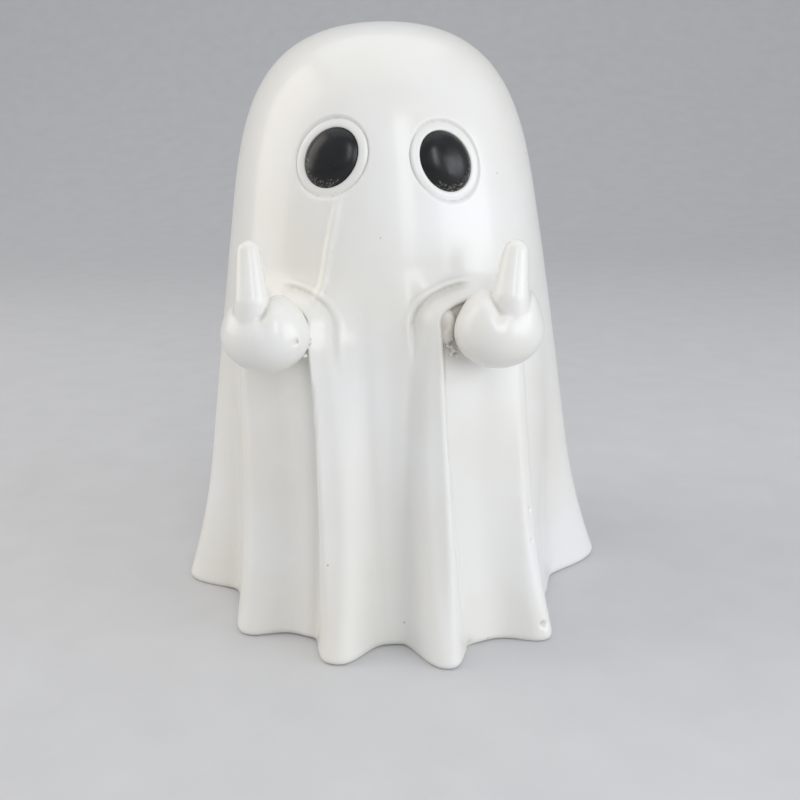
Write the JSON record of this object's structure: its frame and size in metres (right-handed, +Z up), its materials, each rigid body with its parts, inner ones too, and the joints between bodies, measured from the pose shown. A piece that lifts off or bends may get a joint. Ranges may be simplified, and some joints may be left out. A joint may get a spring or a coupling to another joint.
{
  "type": "ceramic ghost figure",
  "caption": "Glazed white ceramic ghost in a draped sheet, hollow and open underneath, with domed black eyes in raised rims and glued-on hands with an upright finger.",
  "frame": {"origin": "on the surface that the hem stands on, under the middle of the figure", "axes": "+Z up, the figure faces -Y, +X to the viewer's right"},
  "size_m": [0.094, 0.0969, 0.1199],
  "materials": {
    "glazed_ceramic": "gloss",
    "black_eye": "gloss",
    "cured_glue": "satin"
  },
  "bodies": {
    "root": {"body_shell": "glazed_ceramic", "left_eye_rim": "glazed_ceramic", "right_eye_rim": "glazed_ceramic", "left_eye": "black_eye", "right_eye": "black_eye", "left_eye_adhesive": "cured_glue", "right_eye_adhesive": "cured_glue", "left_hand": "glazed_ceramic", "right_hand": "glazed_ceramic", "left_hand_glue": "cured_glue", "right_hand_glue": "cured_glue"}
  },
  "joints": []
}
